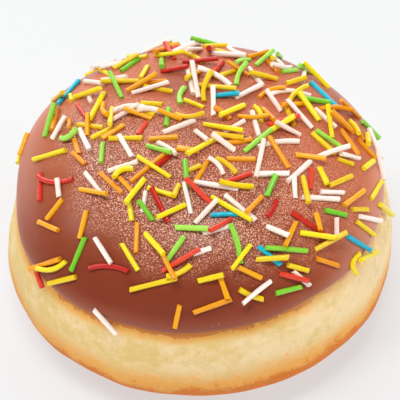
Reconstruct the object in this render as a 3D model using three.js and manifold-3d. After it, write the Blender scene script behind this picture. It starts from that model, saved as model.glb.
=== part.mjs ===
// A sprinkle frosted doughnut: a round yeast doughnut with no hole, dipped crown down in chocolate
// frosting and scattered with sugar sprinkles. Millimetres, +Z up, the origin at the middle of the base.
import * as THREE from "three";
import { mergeVertices } from "three/addons/utils/BufferGeometryUtils.js";
import Module from "manifold-3d";

// ---- Driving dimensions ------------------------------------------------------------------------

const WAIST_RADIUS = 45; // the widest girth, halved
const WAIST_HEIGHT = 14; // of that girth above the table
const CROWN_RISE = 36.8; // from the waist to the top of the bare dough
const BASE_DROP = 15; // the under side would round off this far below the waist, but the table flattens it
const CROWN_FULLNESS = 2.63; // superellipse exponents: 2 is an ellipse, more is squarer in the shoulder
const BASE_FULLNESS = 2.6;
const FIT_GAP = 0.3; // between the dough and the frosting on it
const FROSTING_THICKNESS = 1.5;
const RIM_HEIGHT = 32; // of the frosting's edge above the table
const RIM_LEAN = 2; // the dip was slanted: the edge stands this much higher at +X, and lower at -X

// Soft patches where the round form is pressed in (rise below 0) or bulges out, each about a direction from
// the heart.
const PATCHES = [
  { turn: 180, latitude: 24, width: 18, rise: -2 },
  { turn: 148, latitude: 35, width: 17, rise: 1 },
  { turn: -90, latitude: 51, width: 23, rise: -0.6 },
];

const SPRINKLE_COUNT = 262;
const SPRINKLE_RADIUS = { least: 0.55, most: 0.68 };
const SPRINKLE_LENGTH = { least: 3, most: 10.6 };
const SPRINKLE_SINK = 0.36; // how deep one lies in the frosting
const SPRINKLE_BITE = 0.18; // how deep one lies in another that it crosses
const STEEPEST_PITCH = 22; // degrees, of one that leans on others
const BENT_FROM = 0.82; // the part of them that is straight
const BEND_SPREAD = 9; // radians of bend for each part past that, to either side

// How far down the sides they were strewn, as a share of the way from the crown to the frosting's edge
const STREWN_SHARE = 0.77;
const STREWN_BLUR = 0.04;
const REACH_AT_X = 0.1; // further at +X and less far at -X
const REACH_AT_Y = 0.04; // further at -Y and less far at +Y
const SWEEP = { turn: -140.4, width: 40.1, from: 0.56, blur: 0.04, bareness: 0.96 }; // nearly bare

// Sprinkles that lie alone near the frosting's edge or stand out over the rest. share runs from 0 at the
// crown to 1 at the edge, heading is 0 along the waist and 90 up the slope, and length is in millimetres.
const STANDOUTS = [
  { turn: -140, share: 0.69, heading: -60, length: 6.5 },
  { turn: -135, share: 0.79, heading: -81, length: 8.2 },
  { turn: -144, share: 0.92, heading: 52, length: 10 },
  { turn: -140.5, share: 0.91, heading: 48, length: 8.5, bend: 30 },
  { turn: -123, share: 0.77, heading: 16, length: 9.5, bend: -20 },
  { turn: -119, share: 1, heading: -40, length: 7.5 },
  { turn: -106, share: 0.79, heading: 25, length: 11 },
  { turn: -97, share: 0.91, heading: -100, length: 5.5 },
  { turn: -86, share: 0.87, heading: 13, length: 9 },
  { turn: -82, share: 0.8, heading: -80, length: 5.5 },
  { turn: -55, share: 0.88, heading: -64, length: 5.5 },
  { turn: -36, share: 0.96, heading: -130, length: 6, bend: 80 },
  { turn: -30, share: 0.92, heading: -67, length: 8 },
  { turn: -63, share: 0.73, heading: -64, length: 6.5 },
  { turn: -76, share: 0.5, heading: -12, length: 6.5 },
  { turn: 31, share: 0.72, heading: 8, length: 9.5 },
  { turn: 148, share: 0.72, heading: 3, length: 9 },
  { turn: 36, share: 0.54, heading: -109, length: 11, bend: -35 },
  { turn: -9, share: 0.39, heading: -66, length: 10, bend: -15 },
  { turn: -168, share: 0.77, heading: -13, length: 8 },
  { turn: -165, share: 0.7, heading: 50, length: 11, bend: 25 },
  { turn: -151, share: 0.8, heading: 25, length: 6.9 },
  { turn: -154, share: 0.74, heading: -81, length: 5.9 },
  { turn: -136, share: 0.92, heading: 46, length: 8.1 },
  { turn: -144, share: 1, heading: -39, length: 4 },
  { turn: -29, share: 1, heading: -33, length: 8.3 },
  { turn: 20, share: 0.95, heading: -91, length: 8.4 },
  { turn: 162, share: 0.955, heading: -12, length: 6 },
  { turn: 163, share: 1.01, heading: 12, length: 6 },
  { turn: -42, share: 0.71, heading: -67, length: 10.6 },
  { turn: -56, share: 0.74, heading: -31, length: 10.3 },
  { turn: -72, share: 0.49, heading: -57, length: 11 },
  { turn: -67, share: 0.49, heading: -67, length: 9 },
  { turn: -10, share: 1.005, heading: -66, length: 9 },
  { turn: -20, share: 0.91, heading: -56, length: 8 },
  { turn: -21, share: 0.84, heading: -49, length: 5.3 },
  { turn: -24, share: 0.69, heading: -53, length: 6.1 },
  { turn: -30, share: 0.66, heading: -51, length: 9.3 },
  { turn: -34, share: 0.79, heading: -137, length: 4.6 },
  { turn: -44, share: 0.88, heading: -45, length: 6.2 },
  { turn: -55, share: 0.83, heading: -41, length: 5.6 },
  { turn: 55, share: 0.48, heading: 152, length: 7.4 },
  { turn: 48, share: 0.36, heading: -97, length: 7.9 },
  { turn: 30, share: 0.42, heading: -177, length: 6.5 },
  { turn: 60, share: 0.26, heading: -148, length: 6.1 },
  { turn: 98, share: 0.35, heading: 91, length: 10.6 },
  { turn: 94, share: 0.32, heading: 93, length: 10.4 },
  { turn: 180, share: 0.7, heading: 69, length: 10.6 },
  { turn: -152, share: 0.55, heading: 2, length: 7 },
  { turn: -150, share: 0.41, heading: 73, length: 7.1 },
];

// Facets of the solids
const SEGMENTS = 44; // round the doughnut
const CROWN_RINGS = 9; // of the dough, from the waist to the top
const BASE_RINGS = 8; // of its under side, set closer together towards the waist
const RING_CROWDING = 1.8;
const FROSTING_RINGS = 8; // of its outside
const LINING_RINGS = 12; // of its inside, fine enough for its facets to keep off the dough's
const FACET_LIFT = 0.06; // flat facets cut a round surface short by about this much
const SPRINKLE_SIDES = 5;
const MODELLED_SPRINKLES = 194; // the longest, which are the ones that give the crown its form
const ROD_SWELL = 1.1; // gives a rod of so few sides about the thickness of a round one
const MERGE_TOLERANCE = 0.01; // facets that lie this nearly in one plane are joined

const rad = THREE.MathUtils.degToRad;

// ---- The uneven round form, as a distance from its heart on the waist plane ---------------------

const HEART = new THREE.Vector3(0, 0, WAIST_HEIGHT);

// A proved ball of dough is never quite round: a few slow waves change its girth.
function waistRadius(turn) {
  const lean = 0.0096 * Math.sin(turn);
  const oval = 0.0188 * Math.cos(2 * turn - 0.59);
  const corners = 0.0054 * Math.cos(3 * turn + 1.95);
  return WAIST_RADIUS * (1 + lean + oval + corners);
}

function outFromHeart(turn, latitude) {
  return new THREE.Vector3(
    Math.cos(turn) * Math.cos(latitude),
    Math.sin(turn) * Math.cos(latitude),
    Math.sin(latitude),
  );
}

// The patches, and slow swells of a fraction of a millimetre all over.
function unevenness(out, point) {
  const along = Math.sin(0.17 * point.x + 0.8) * Math.sin(0.15 * point.y - 0.5);
  const across = Math.sin(0.11 * point.x - 0.19 * point.y + 1.7);
  const patches = PATCHES.map(({ turn, latitude, width, rise }) => {
    const aside = out.angleTo(outFromHeart(rad(turn), rad(latitude)));
    return rise * Math.exp(-((aside / rad(width)) ** 2));
  });
  return patches.reduce((sum, patch) => sum + patch, 0.16 * along + 0.1 * across);
}

// A point at that turn about the axis and latitude above the waist, as seen from the heart, so far off the
// dough.
function onDoughnut(turn, latitude, off = 0) {
  const [drop, fullness] = latitude < 0 ? [BASE_DROP, BASE_FULLNESS] : [CROWN_RISE, CROWN_FULLNESS];
  const sideways = Math.abs(Math.cos(latitude)) / waistRadius(turn);
  const upwards = Math.abs(Math.sin(latitude)) / drop;
  const reach = (sideways ** fullness + upwards ** fullness) ** (-1 / fullness);
  const out = outFromHeart(turn, latitude);
  const bare = out.clone().multiplyScalar(reach).add(HEART);
  const point = bare.clone().addScaledVector(out, off + unevenness(out, bare));
  point.z = Math.max(point.z, 0); // the table flattens the base
  return point;
}

// The latitude of the frosting's edge, which leans and wanders a little.
function rimLatitude(turn) {
  const wander = 0.3 * Math.cos(4 * turn + 4.5) + 0.22 * Math.sin(7 * turn + 2.2) + 0.12 * Math.sin(12 * turn);
  const height = RIM_HEIGHT + RIM_LEAN * Math.cos(turn) + wander;
  return Math.atan2(height - WAIST_HEIGHT, 0.97 * WAIST_RADIUS);
}

// share runs from 0 at the crown to 1 at the frosting's edge.
function frostedLatitude(turn, share) {
  return Math.PI / 2 - share * (Math.PI / 2 - rimLatitude(turn));
}

// The frosting thins towards its edge, and swells into a soft bead just above it.
function frostingDepth(share) {
  const bead = 0.22 * Math.exp(-(((share - 0.95) / 0.045) ** 2));
  return FROSTING_THICKNESS * (1 - 0.3 * share ** 6) + bead;
}

function onFrosting(turn, share, off = 0) {
  return onDoughnut(turn, frostedLatitude(turn, share), FIT_GAP + frostingDepth(share) + off);
}

// ---- Dough and frosting: lathed shells whose vertices are moved onto the uneven form -----------

// Lathes the (share, layer) stations, then sends each vertex to place(turn, share, layer). A station's share
// is written into the lathe as an angle from the axis, and its layer as a distance, to be read back there.
function lathed(stations, place) {
  const profile = stations.map(([share, layer]) => {
    const fromAxis = share * (Math.PI / 2);
    return new THREE.Vector2((1 + layer) * Math.sin(fromAxis), (1 + layer) * Math.cos(fromAxis));
  });
  const geometry = new THREE.LatheGeometry(profile, SEGMENTS).rotateX(Math.PI / 2);
  const position = geometry.getAttribute("position");
  const vertex = new THREE.Vector3();
  for (let i = 0; i < position.count; i++) {
    vertex.fromBufferAttribute(position, i);
    const share = Math.atan2(Math.hypot(vertex.x, vertex.y), vertex.z) / (Math.PI / 2);
    const placed = place(Math.atan2(vertex.y, vertex.x), share, vertex.length() - 1);
    position.setXYZ(i, placed.x, placed.y, placed.z);
  }
  return geometry;
}

function steps(count, from, to) {
  return Array.from({ length: count + 1 }, (_, i) => from + ((to - from) * i) / count);
}

function doughGeometry() {
  const under = steps(BASE_RINGS, 1, 0).map((depth) => [1 + depth ** RING_CROWDING, 0]);
  const crown = steps(CROWN_RINGS, 1, 0).map((share) => [share, 0]);
  const place = (turn, share) => onDoughnut(turn, (1 - share) * (Math.PI / 2));
  return lathed([...under, ...crown.slice(1)], place);
}

function frostingGeometry() {
  const inside = steps(LINING_RINGS, 0, 1).map((share) => [share, 0]);
  const lip = [
    [1.012, 0.35],
    [1.01, 0.75],
  ];
  const outside = steps(FROSTING_RINGS, 0.99, 0).map((share) => [share, 1]);
  return lathed([...inside, ...lip, ...outside], (turn, share, layer) =>
    onDoughnut(turn, frostedLatitude(turn, share), FIT_GAP + layer * (frostingDepth(share) + FACET_LIFT)),
  );
}

// ---- Sprinkles ---------------------------------------------------------------------------------

// A repeatable draw between 0 and 1, by a plain linear congruence that any language gives alike.
let seed = 127;
function draw() {
  seed = (seed * 1664525 + 1013904223) % 4294967296;
  return seed / 4294967296;
}

// The frosting's own directions at a spot: round the doughnut, up the slope and straight out.
function frameAt(turn, share) {
  const nudge = 0.01;
  const spot = onFrosting(turn, share);
  const around = onFrosting(turn + nudge, share).sub(spot);
  const upslope = onFrosting(turn, share - nudge).sub(spot);
  const outward = around.clone().cross(upslope).normalize();
  around.normalize();
  return { spot, around, upslope: outward.clone().cross(around), outward };
}

// How high a point stands above the frosting, as seen from the doughnut's heart.
function heightOf(point) {
  const fromHeart = point.clone().sub(HEART);
  const turn = Math.atan2(fromHeart.y, fromHeart.x);
  const latitude = Math.atan2(fromHeart.z, Math.hypot(fromHeart.x, fromHeart.y));
  const share = Math.min(1, (Math.PI / 2 - latitude) / (Math.PI / 2 - rimLatitude(turn)));
  return fromHeart.length() - onFrosting(turn, share).sub(HEART).length();
}

// One that lies at a spot, as the three points of its axis. bend turns its second half in the plane of the
// surface, and pitch lifts its far end while the near one stays down.
function laid({ turn, share, heading, length, radius, bend }, pitch) {
  const { spot, around, upslope, outward } = frameAt(turn, share);
  const along = (angle) =>
    around.clone().multiplyScalar(Math.cos(angle)).addScaledVector(upslope, Math.sin(angle));
  const middle = spot.clone().addScaledVector(outward, radius - SPRINKLE_SINK);
  const near = middle.clone().addScaledVector(along(heading - bend / 2), -length / 2);
  const far = middle.clone().addScaledVector(along(heading + bend / 2), length / 2);
  const axis = along(heading).cross(outward).normalize();
  const settled = pitch ? outward.clone() : new THREE.Vector3();
  settled.multiplyScalar(radius - SPRINKLE_SINK - heightOf(near));
  const tilted = (point) => point.clone().sub(near).applyAxisAngle(axis, pitch).add(near).add(settled);
  return [near, middle, far].map(tilted);
}

// The least distance between the segments ab and cd.
function apart(a, b, c, d) {
  const u = b.clone().sub(a);
  const v = d.clone().sub(c);
  const w = a.clone().sub(c);
  const [uu, uv, vv, uw, vw] = [u.dot(u), u.dot(v), v.dot(v), u.dot(w), v.dot(w)];
  const clamp = (value) => Math.min(1, Math.max(0, value));
  const spread = uu * vv - uv * uv;
  let s = spread > 1e-9 ? clamp((uv * vw - vv * uw) / spread) : 0;
  const t = clamp((uv * s + vw) / vv);
  s = clamp((uv * t - uw) / uu);
  return w.addScaledVector(u, s).addScaledVector(v, -t).length();
}

// Whether a sprinkle on these points stays clear of those already lying there.
function clear(points, radius, lying) {
  return lying.every((other) => {
    const near = points[1].distanceTo(other.points[1]) < SPRINKLE_LENGTH.most + 2;
    if (!near) return true;
    const touching = radius + other.radius - SPRINKLE_BITE;
    return [0, 1].every((i) =>
      [0, 1].every((j) => apart(points[i], points[i + 1], other.points[j], other.points[j + 1]) >= touching),
    );
  });
}

// Lays one down flat if there is room, or leans it on those below, on either end, at the least pitch that
// clears them.
function settle(sprinkle, lying) {
  const turned = { ...sprinkle, heading: sprinkle.heading + Math.PI, bend: -sprinkle.bend };
  for (let pitch = 0; pitch <= STEEPEST_PITCH; pitch += 1) {
    for (const leaning of pitch ? [sprinkle, turned] : [sprinkle]) {
      const points = laid(leaning, rad(pitch));
      if (clear(points, sprinkle.radius, lying)) return points;
    }
  }
  return null;
}

// Sprinkles fall straight down: the share at which one lands that far from the axis, 0 to 1 of the waist
// radius.
function landingShare(turn, plan) {
  const height = CROWN_RISE * (1 - plan ** CROWN_FULLNESS) ** (1 / CROWN_FULLNESS);
  const latitude = Math.atan2(height, WAIST_RADIUS * plan);
  return (Math.PI / 2 - latitude) / (Math.PI / 2 - rimLatitude(turn));
}

// Falls from 1 to 0 as value passes limit, over a few times blur.
function fading(value, limit, blur) {
  return 1 / (1 + Math.exp((value - limit) / blur));
}

// How thickly a spot was strewn: full over the crown, lowest down the sides at +X and -Y, with a bare sweep
// at the front left.
function strewn(turn, share) {
  const reach = STREWN_SHARE + REACH_AT_X * Math.cos(turn) - REACH_AT_Y * Math.sin(turn);
  const aside = Math.exp(-(((turn - rad(SWEEP.turn)) / rad(SWEEP.width)) ** 2));
  const below = 1 - fading(share, SWEEP.from, SWEEP.blur);
  return fading(share, reach, STREWN_BLUR) * (1 - SWEEP.bareness * aside * below);
}

function randomSprinkle() {
  const turn = Math.PI * (2 * draw() - 1);
  const share = landingShare(turn, Math.sqrt(draw()));
  const heading = Math.PI * 2 * draw();
  const long = (draw() + draw()) / 2;
  const radius = SPRINKLE_RADIUS.least + (SPRINKLE_RADIUS.most - SPRINKLE_RADIUS.least) * draw();
  const curl = draw();
  return {
    turn,
    share,
    heading,
    length: SPRINKLE_LENGTH.least + (SPRINKLE_LENGTH.most - SPRINKLE_LENGTH.least) * long,
    radius,
    bend: curl > BENT_FROM ? (curl - (1 + BENT_FROM) / 2) * BEND_SPREAD : 0,
    kept: draw() < strewn(turn, share),
  };
}

function standoutSprinkle({ turn, share, heading, length, bend = 0 }) {
  const radius = (SPRINKLE_RADIUS.least + SPRINKLE_RADIUS.most) / 2;
  return { turn: rad(turn), share, heading: rad(heading), length, radius, bend: rad(bend), kept: true };
}

function scatter() {
  const standouts = STANDOUTS.map(standoutSprinkle);
  const lying = [];
  while (lying.length < SPRINKLE_COUNT) {
    const sprinkle = standouts.shift() ?? randomSprinkle();
    const points = sprinkle.kept && settle(sprinkle, lying);
    if (points) lying.push({ ...sprinkle, points });
  }
  return lying;
}

// A rod of a few flat sides along its axis points.
function rodGeometry({ points, radius, bend }) {
  const path = new THREE.CurvePath();
  const stops = bend ? points : [points[0], points[2]];
  for (let i = 0; i + 1 < stops.length; i++) path.add(new THREE.LineCurve3(stops[i], stops[i + 1]));
  const corners = steps(SPRINKLE_SIDES, 0, 2 * Math.PI).slice(1);
  const reach = radius * ROD_SWELL;
  const section = new THREE.Shape(
    corners.map((angle) => new THREE.Vector2(reach * Math.cos(angle), reach * Math.sin(angle))),
  );
  const along = { extrudePath: path, steps: stops.length - 1, bevelEnabled: false };
  return new THREE.ExtrudeGeometry(section, along);
}

// ---- Solids ------------------------------------------------------------------------------------

const wasm = await Module();
wasm.setup();

function solidOf(geometry) {
  const bare = new THREE.BufferGeometry().setAttribute("position", geometry.getAttribute("position"));
  bare.setIndex(geometry.index);
  const merged = mergeVertices(bare, 1e-3);
  return new wasm.Manifold(
    new wasm.Mesh({
      numProp: 3,
      vertProperties: new Float32Array(merged.getAttribute("position").array),
      triVerts: new Uint32Array(merged.index.array),
    }),
  );
}

function geometryOf(solid) {
  const { vertProperties, triVerts } = solid.getMesh();
  const geometry = new THREE.BufferGeometry();
  geometry.setAttribute("position", new THREE.BufferAttribute(new Float32Array(vertProperties), 3));
  geometry.setIndex(new THREE.BufferAttribute(new Uint32Array(triVerts), 1));
  geometry.computeVertexNormals();
  return geometry;
}

function sprinkledFrosting() {
  const longest = scatter().sort((a, b) => b.length - a.length).slice(0, MODELLED_SPRINKLES);
  const sprinkles = longest.map((sprinkle) => solidOf(rodGeometry(sprinkle)));
  const fused = wasm.Manifold.union([solidOf(frostingGeometry()), ...sprinkles]).simplify(MERGE_TOLERANCE);
  const [body] = fused.decompose().sort((a, b) => b.volume() - a.volume()); // a loose sprinkle falls away
  return geometryOf(body);
}

function named(name, geometry, colour, roughness) {
  const material = new THREE.MeshStandardMaterial({ color: colour, roughness, metalness: 0 });
  const mesh = new THREE.Mesh(geometry, material);
  mesh.name = name;
  return mesh;
}

const doughnut = new THREE.Group();
doughnut.add(named("dough", doughGeometry(), 0xe2b878, 0.8));
doughnut.add(named("frosting", sprinkledFrosting(), 0x8d4a33, 0.35));

export default doughnut;
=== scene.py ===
"""A sprinkle frosted doughnut: pale dough browned at its base, chocolate frosting and strewn sprinkles.

Metres, +Z up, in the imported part's frame: its origin is the middle of the flat spot that the doughnut
rests on.
"""

import logging
import math
from collections.abc import Iterator
from dataclasses import dataclass, field
from enum import Enum

import bmesh
import bpy
import numpy as np
from mathutils import Matrix, Vector


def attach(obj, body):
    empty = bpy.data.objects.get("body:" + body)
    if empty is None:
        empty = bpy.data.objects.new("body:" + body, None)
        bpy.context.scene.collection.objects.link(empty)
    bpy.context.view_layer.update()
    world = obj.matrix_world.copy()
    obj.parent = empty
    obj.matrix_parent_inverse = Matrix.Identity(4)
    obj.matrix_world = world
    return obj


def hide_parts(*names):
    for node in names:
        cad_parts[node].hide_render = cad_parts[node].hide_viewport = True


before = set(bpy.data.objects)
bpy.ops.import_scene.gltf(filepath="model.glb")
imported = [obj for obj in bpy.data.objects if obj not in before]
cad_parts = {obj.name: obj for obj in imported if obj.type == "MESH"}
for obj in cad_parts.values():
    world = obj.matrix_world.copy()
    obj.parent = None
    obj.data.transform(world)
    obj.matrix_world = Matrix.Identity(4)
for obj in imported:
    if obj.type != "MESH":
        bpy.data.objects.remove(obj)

log = logging.getLogger("doughnut")

Colour = tuple[float, float, float]

BODY = "root"
WHITE_LIGHT: Colour = (1.0, 1.0, 1.0)
MERGE_DISTANCE = 1e-6
PARALLEL_SPREAD = 1e-21
# The seeds of the draws, each the pick of many that were tried: for where the sprinkles lie, as in the
# solids, and for the colour of each.
LAYOUT_SEED, DYE_SEED = 127, 4506
# The names of the numbers that the meshes carry for their materials.
BELOW_EDGE, SHARE, BATCH = "below_edge", "share", "batch"


def srgb(red: int, green: int, blue: int) -> Colour:
    """Turns a screen colour, 0 to 255, into the linear light that shaders use.

    Args:
        red: The red part, 0 to 255.
        green: The green part, 0 to 255.
        blue: The blue part, 0 to 255.

    Returns:
        The colour as linear red, green and blue.
    """
    parts = (part / 255 for part in (red, green, blue))
    return tuple(part / 12.92 if part < 0.04045 else ((part + 0.055) / 1.055) ** 2.4 for part in parts)


# ---- The uneven round form ----


def from_heart(turn: np.ndarray, latitude: np.ndarray) -> np.ndarray:
    """Unit vectors from the heart of the form.

    Args:
        turn: Angles about the axis, in radians.
        latitude: Angles above the waist plane, in radians.

    Returns:
        The vectors, in an array with one more axis.
    """
    flat = np.cos(latitude)
    return np.stack([np.cos(turn) * flat, np.sin(turn) * flat, np.sin(latitude) + 0 * turn], axis=-1)


@dataclass(frozen=True)
class Wave:
    """A wave that runs round the doughnut: how many fit round it, its size and its phase in radians."""

    number: int
    size: float
    phase: float = 0.0

    def at(self, turn: np.ndarray) -> np.ndarray:
        """How far it rises at an angle about the axis."""
        return self.size * np.sin(self.number * turn + self.phase)


@dataclass(frozen=True)
class Swell:
    """A slow rise and fall of a surface, in metres: one sine wave, or two multiplied.

    Each wave is its radians for a unit along X, Y and Z, and its phase.
    """

    rise: float
    waves: tuple[tuple[float, float, float, float], ...]

    def lift(self, place: np.ndarray) -> np.ndarray:
        """How far it lifts the surface at those places."""
        sines = (np.sin(place @ np.array(pitch) + phase) for *pitch, phase in self.waves)
        return self.rise * math.prod(sines)


@dataclass(frozen=True)
class Patch:
    """A soft hollow (rise below 0) or bulge of the form, about a direction from its heart.

    turn, latitude and width are in degrees, and rise is in metres.
    """

    turn: float
    latitude: float
    width: float
    rise: float

    def lift(self, out: np.ndarray) -> np.ndarray:
        """How far it lifts the surface.

        Args:
            out: Unit vectors from the heart.

        Returns:
            Distances along them, in metres.
        """
        middle = from_heart(np.radians(self.turn), np.radians(self.latitude))
        aside = np.arccos(np.clip(out @ middle, -1, 1))
        return self.rise * np.exp(-((aside / math.radians(self.width)) ** 2))


@dataclass(frozen=True)
class Form:
    """The round form that dough and frosting share, as a distance from its heart on the waist plane.

    Its upright section is a superellipse: the fuller it is, the squarer its shoulder. The sizes of
    waist_waves are shares of the waist radius, and those of rim_waves are in metres.
    """

    waist_radius: float = 0.045
    waist_height: float = 0.014
    crown_rise: float = 0.0368
    base_drop: float = 0.015
    crown_fullness: float = 2.63
    base_fullness: float = 2.6
    waist_waves: tuple[Wave, ...] = (
        Wave(1, 0.0096),
        Wave(2, 0.0188, math.pi / 2 - 0.59),
        Wave(3, 0.0054, math.pi / 2 + 1.95),
    )
    swells: tuple[Swell, ...] = (
        Swell(0.00016, ((170, 0, 0, 0.8), (0, 150, 0, -0.5))),
        Swell(0.0001, ((110, -190, 0, 1.7),)),
    )
    patches: tuple[Patch, ...] = (
        Patch(turn=180, latitude=24, width=18, rise=-0.002),
        Patch(turn=148, latitude=35, width=17, rise=0.001),
        Patch(turn=-90, latitude=51, width=23, rise=-0.0006),
    )
    fit_gap: float = 0.0003
    frosting_thickness: float = 0.0015
    thinning: float = 0.3
    thinning_power: int = 6
    bead_height: float = 0.00022
    bead_share: float = 0.95
    bead_width: float = 0.045
    rim_height: float = 0.032
    rim_radius: float = 0.04365
    rim_lean: float = 0.002
    rim_waves: tuple[Wave, ...] = (
        Wave(4, 0.0003, math.pi / 2 + 4.5),
        Wave(7, 0.00022, 2.2),
        Wave(12, 0.00012),
    )

    @property
    def heart(self) -> np.ndarray:
        """The point on the axis that latitudes are measured from."""
        return np.array([0.0, 0.0, self.waist_height])

    def waist(self, turn: np.ndarray) -> np.ndarray:
        """The waist radius at a turn: a proved ball of dough is never quite round."""
        return self.waist_radius * (1 + sum(wave.at(turn) for wave in self.waist_waves))

    def unevenness(self, out: np.ndarray, point: np.ndarray) -> np.ndarray:
        """How far the swells and the patches lift the surface.

        Args:
            out: Unit vectors from the heart.
            point: The points of the smooth form along them.

        Returns:
            Distances along the vectors, in metres.
        """
        swollen = sum(swell.lift(point) for swell in self.swells)
        return swollen + sum(patch.lift(out) for patch in self.patches)

    def point(self, turn: np.ndarray, latitude: np.ndarray, off: np.ndarray | float = 0.0) -> np.ndarray:
        """Points at those angles, that far off the dough's surface.

        Args:
            turn: Angles about the axis, in radians.
            latitude: Angles above the waist plane as seen from the heart, in radians.
            off: How far off the surface, in metres.

        Returns:
            The points, none of them below the table.
        """
        below = np.asarray(latitude) < 0
        drop = np.where(below, self.base_drop, self.crown_rise)
        fullness = np.where(below, self.base_fullness, self.crown_fullness)
        sideways = np.abs(np.cos(latitude)) / self.waist(turn)
        upwards = np.abs(np.sin(latitude)) / drop
        reach = (sideways**fullness + upwards**fullness) ** (-1 / fullness)
        out = from_heart(turn, latitude)
        bare = out * reach[..., None] + self.heart
        placed = bare + out * (off + self.unevenness(out, bare))[..., None]
        placed[..., 2] = np.maximum(placed[..., 2], 0)
        return placed

    def rim_latitude(self, turn: np.ndarray) -> np.ndarray:
        """The latitude of the frosting's edge, which leans and wanders a little.

        Args:
            turn: The angle about the axis, in radians.

        Returns:
            The latitude in radians.
        """
        wander = sum(wave.at(turn) for wave in self.rim_waves)
        height = self.rim_height + self.rim_lean * np.cos(turn) + wander
        return np.arctan2(height - self.waist_height, self.rim_radius)

    def frosted_latitude(self, turn: np.ndarray, share: np.ndarray) -> np.ndarray:
        """The latitude at a share of the way from the crown, 0, to the frosting's edge, 1."""
        return math.pi / 2 - share * (math.pi / 2 - self.rim_latitude(turn))

    def frosting_depth(self, share: np.ndarray) -> np.ndarray:
        """How thick the frosting lies: it thins towards its edge and swells into a soft bead above it."""
        bead = self.bead_height * np.exp(-(((share - self.bead_share) / self.bead_width) ** 2))
        return self.frosting_thickness * (1 - self.thinning * share**self.thinning_power) + bead

    def on_frosting(self, turn: np.ndarray, share: np.ndarray) -> np.ndarray:
        """Points on the frosting's outside."""
        off = self.fit_gap + self.frosting_depth(share)
        return self.point(turn, self.frosted_latitude(turn, share), off)

    def height_over(self, point: np.ndarray) -> float:
        """How high a point stands above the frosting, as seen from the heart.

        Args:
            point: The point.

        Returns:
            The height in metres, below 0 for a point inside.
        """
        x, y, z = point - self.heart
        turn = math.atan2(y, x)
        latitude = math.atan2(z, math.hypot(x, y))
        share = min(1.0, (math.pi / 2 - latitude) / (math.pi / 2 - self.rim_latitude(turn)))
        surface = np.linalg.norm(self.on_frosting(turn, share) - self.heart)
        return float(np.linalg.norm(point - self.heart) - surface)


# ---- Shader nodes ----


class Flow:
    """A value that flows through a material's nodes, with arithmetic that adds Math nodes."""

    def __init__(self, graph: "Graph", socket: bpy.types.NodeSocket) -> None:
        """Wraps an output socket of the graph."""
        self.graph = graph
        self.socket = socket

    def _math(self, operation: str, first: "Flow | float", second: "Flow | float") -> "Flow":
        """Adds a Math node on two values."""
        node = self.graph.node("ShaderNodeMath", {"operation": operation}, {0: first, 1: second})
        return Flow(self.graph, node.outputs[0])

    def __add__(self, other: "Flow | float") -> "Flow":
        """self + other."""
        return self._math("ADD", self, other)

    def __radd__(self, other: float) -> "Flow":
        """other + self."""
        return self._math("ADD", other, self)

    def __sub__(self, other: "Flow | float") -> "Flow":
        """self - other."""
        return self._math("SUBTRACT", self, other)

    def __rsub__(self, other: float) -> "Flow":
        """other - self."""
        return self._math("SUBTRACT", other, self)

    def __mul__(self, other: "Flow | float") -> "Flow":
        """self * other."""
        return self._math("MULTIPLY", self, other)

    def __rmul__(self, other: float) -> "Flow":
        """other * self."""
        return self._math("MULTIPLY", other, self)


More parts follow.
